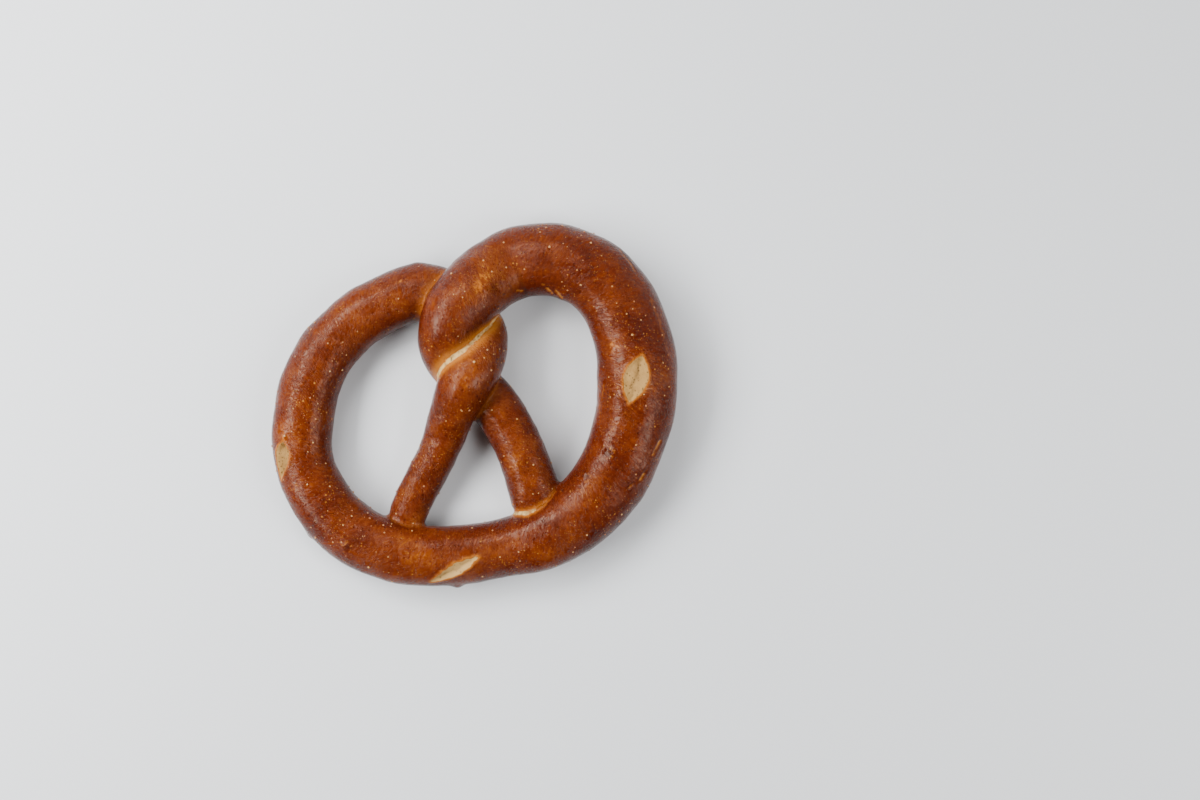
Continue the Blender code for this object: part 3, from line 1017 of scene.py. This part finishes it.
def blister_material(shared, colours):
    """Thin pale skin over a bubble, a little browned on top."""
    made, tree, shader = material("blister_skin")
    place = node(tree, "ShaderNodeTexCoord").outputs["Object"]
    browned = times(tree, mottled(tree, shared, place, "browned blisters"), 0.35)
    warm = mixed(tree, field(tree, "pale"), colours.golden, colours.blister)
    feed(tree, shader.inputs["Base Color"], mixed(tree, browned, warm, colours.amber))
    shader.inputs["Roughness"].default_value = BLISTER_ROUGHNESS
    shader.inputs["Coat Weight"].default_value = BLISTER_GLAZE
    relief = node(tree, "ShaderNodeBump", {
        "Height": noise_at(tree, place, 2600.0, 2.0), "Distance": BLISTER_GRAIN})
    feed(tree, shader.inputs["Normal"], relief.outputs["Normal"])
    return made


# Blisters

# Shape of a dome, and how the small blisters are scattered: number and radius of the clusters, chance of a
# blister far from them, smallest radius and how much larger the largest is, and distance from bare crumb.
DOME = {"Segments": 8, "Rings": 6, "Flatness": 0.55}
CLUSTERS = 26
CLUSTER_RADIUS = 9 * MM
LONELY = 0.14
SMALLEST_BLISTER = 0.13
BLISTER_GROWTH = 0.3
CRUMB_MARGIN = 1.0


def blister_tree():
    """A low upright dome on every point, as large as the point's radius."""
    tree, given = new_tree("Blister Domes", "GeometryNodeTree", (
        ("Geometry", "Geometry", None), ("Segments", "Int", DOME["Segments"]),
        ("Rings", "Int", DOME["Rings"]), ("Flatness", "Float", DOME["Flatness"]),
        ("Material", "Material", None)), (("Geometry", "Geometry"),))
    dome = node(tree, "GeometryNodeMeshUVSphere", {
        "Segments": given["Segments"], "Rings": given["Rings"], "Radius": 1.0})
    smooth = node(tree, "GeometryNodeSetShadeSmooth", {"Geometry": dome.outputs["Mesh"]})
    radius = node(tree, "GeometryNodeInputNamedAttribute", {"Name": "radius"}, data_type="FLOAT")
    wide = radius.outputs["Attribute"]
    tall = times(tree, wide, given["Flatness"])
    size = node(tree, "ShaderNodeCombineXYZ", {"X": wide, "Y": wide, "Z": tall})
    placed = node(tree, "GeometryNodeInstanceOnPoints", {
        "Points": given["Geometry"], "Instance": smooth.outputs["Geometry"],
        "Scale": size.outputs["Vector"]})
    return close_tree(tree, placed.outputs["Instances"], given["Material"])


def blister_places(body, sizes):
    """Place, radius and paleness of each blister: first the ones by pixel, then the scattered ones."""
    mesh = body.data
    surface = BVHTree.FromObject(body, bpy.context.evaluated_depsgraph_get())
    eye = Vector(CAMERA_PLACE) * MM
    found = []
    for x, y, radius in PINHEADS:
        ray = Vector((x - PHOTO_SIZE[0] / 2, PHOTO_SIZE[1] / 2 - y, -PIXELS_PER_RADIAN)).normalized()
        place = surface.ray_cast(eye, ray)[0]
        if place is not None:
            found.append((place, 0.6 * radius, 0.8))
    draw = random.Random(sizes.seed)
    count = len(mesh.vertices)
    edge = read_array(mesh.attributes["crumb_edge"].data, "value")
    clusters = [mesh.vertices[draw.randrange(count)].co.copy() for _ in range(CLUSTERS)]
    while len(found) < len(PINHEADS) + sizes.speck_count:
        vertex = mesh.vertices[draw.randrange(count)]
        nearest = min((vertex.co - cluster).length for cluster in clusters)
        likely = LONELY + math.exp(-(nearest / CLUSTER_RADIUS) ** 2)
        if draw.random() > likely or vertex.normal.z < -0.15 or edge[vertex.index] < CRUMB_MARGIN:
            continue
        radius = SMALLEST_BLISTER + BLISTER_GROWTH * draw.random() ** 3
        found.append((vertex.co.copy(), radius, draw.random() ** 2))
    return found


# Operators

class PRETZEL_OT_crust(bpy.types.Operator):
    """Build the crust: the rope of dough joined into one body, split, seamed and browned"""

    bl_idname = "pretzel.crust"
    bl_label = "Crust"

    def execute(self, context):
        sizes = context.scene.pretzel_sizes
        colours = context.scene.pretzel_colours
        skin = crust_material(groups(), colours, sizes)
        route = rope_route()
        centres, radii = centreline(route)
        rope = route.modifiers.new("Rope", "NODES")
        rope.node_group = rope_tree()
        set_inputs(rope, {"Sides": ROPE_SIDES, "Step": ROPE_STEP, "Material": skin})
        body = applied(route, "joined_rope")
        join = body.modifiers.new("Join Strands", "REMESH")
        join.mode = "VOXEL"
        join.voxel_size = sizes.detail
        body = applied(body, "pretzel_crust")
        shape_crust(body, centres, radii, sizes)
        body.data.materials.clear()
        body.data.materials.append(skin)
        body.data.shade_smooth()
        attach(body, BODY)
        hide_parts(NODE)
        return {"FINISHED"}


class PRETZEL_OT_blisters(bpy.types.Operator):
    """Set small pale blisters on the crust"""

    bl_idname = "pretzel.blisters"
    bl_label = "Blisters"

    def execute(self, context):
        body = bpy.data.objects.get("pretzel_crust")
        if body is None:
            raise RuntimeError("the crust comes first")
        sizes = context.scene.pretzel_sizes
        shared = {"mottle": bpy.data.node_groups["Baked Mottle"]}
        skin = blister_material(shared, context.scene.pretzel_colours)
        places, radii, palenesses = zip(*blister_places(body, sizes))
        mesh = bpy.data.meshes.new("blister_points")
        mesh.from_pydata(places, [], [])
        for name, values in (("radius", np.array(radii) * MM), ("pale", palenesses)):
            mesh.attributes.new(name, "FLOAT", "POINT").data.foreach_set("value", values)
        points = link("blister_points", mesh)
        domes = points.modifiers.new("Domes", "NODES")
        domes.node_group = blister_tree()
        set_inputs(domes, {**DOME, "Material": skin})
        blisters = applied(points, "crust_blisters")
        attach(blisters, BODY)
        return {"FINISHED"}


class PRETZEL_OT_studio(bpy.types.Operator):
    """Set the floor, the soft lights, the sky and the camera"""

    bl_idname = "pretzel.studio"
    bl_label = "Studio"

    def execute(self, context):
        studio = context.scene.pretzel_studio
        self.add_floor(studio)
        for name, (azimuth, tilt, width, height, share) in LIGHTS.items():
            self.add_light(name, studio, math.radians(azimuth), math.radians(tilt), (width, height), share)
        world = bpy.data.worlds.new("studio_sky")
        world.use_nodes = True
        sky = world.node_tree.nodes["Background"]
        sky.inputs["Color"].default_value = SKY_COLOUR
        sky.inputs["Strength"].default_value = studio.sky
        context.scene.world = world
        self.add_camera(context.scene)
        return {"FINISHED"}

    def add_floor(self, studio):
        made, tree, shader = material("pale_floor")
        place = node(tree, "ShaderNodeTexCoord").outputs["Object"]
        darker = tuple(0.95 * channel for channel in studio.floor)
        cloudy = mixed(tree, noise_at(tree, place, 6.0, 3.0), studio.floor, darker)
        feed(tree, shader.inputs["Base Color"], cloudy)
        shader.inputs["Roughness"].default_value = FLOOR_ROUGHNESS
        bpy.ops.mesh.primitive_plane_add(size=FLOOR_SIZE)
        floor = bpy.context.object
        floor.name = "floor"
        floor.data.materials.append(made)

    def add_light(self, name, studio, azimuth, tilt, shares, power_share):
        data = bpy.data.lights.new(name, "AREA")
        data.shape = "RECTANGLE"
        data.size, data.size_y = (share * studio.distance for share in shares)
        data.energy = studio.power * power_share
        way = Vector((math.sin(tilt) * math.cos(azimuth), math.sin(tilt) * math.sin(azimuth), math.cos(tilt)))
        light = link(name, data)
        light.location = way * studio.distance
        light.rotation_euler = way.to_track_quat("Z", "Y").to_euler()

    def add_camera(self, scene):
        data = bpy.data.cameras.new("camera")
        data.lens = CAMERA_LENS
        data.sensor_width = CAMERA_SENSOR
        data.sensor_fit = "HORIZONTAL"
        data.clip_start = 0.01
        camera = link("camera", data)
        camera.location = Vector(CAMERA_PLACE) * MM
        scene.camera = camera


class PRETZEL_PT_panel(bpy.types.Panel):
    """The pretzel's sizes, colours and steps"""

    bl_idname = "PRETZEL_PT_panel"
    bl_label = "Pretzel"
    bl_space_type = "VIEW_3D"
    bl_region_type = "UI"
    bl_category = "Pretzel"

    def draw(self, context):
        layout = self.layout
        for settings in (getattr(context.scene, name) for name in SETTINGS):
            box = layout.box()
            for name in settings.__annotations__:
                box.prop(settings, name)
        for step in STEPS:
            layout.operator(step.bl_idname)


SETTINGS = {
    "pretzel_sizes": PretzelSizes, "pretzel_colours": PretzelColours, "pretzel_studio": StudioSettings}
STEPS = (PRETZEL_OT_crust, PRETZEL_OT_blisters, PRETZEL_OT_studio)
CLASSES = (*SETTINGS.values(), *STEPS, PRETZEL_PT_panel)


def register():
    for made in CLASSES:
        bpy.utils.register_class(made)
    for name, kind in SETTINGS.items():
        setattr(bpy.types.Scene, name, bpy.props.PointerProperty(type=kind))


def unregister():
    for name in SETTINGS:
        delattr(bpy.types.Scene, name)
    for made in reversed(CLASSES):
        bpy.utils.unregister_class(made)


def main():
    register()
    bpy.ops.pretzel.crust()
    bpy.ops.pretzel.blisters()
    bpy.ops.pretzel.studio()


if __name__ == "__main__":
    main()
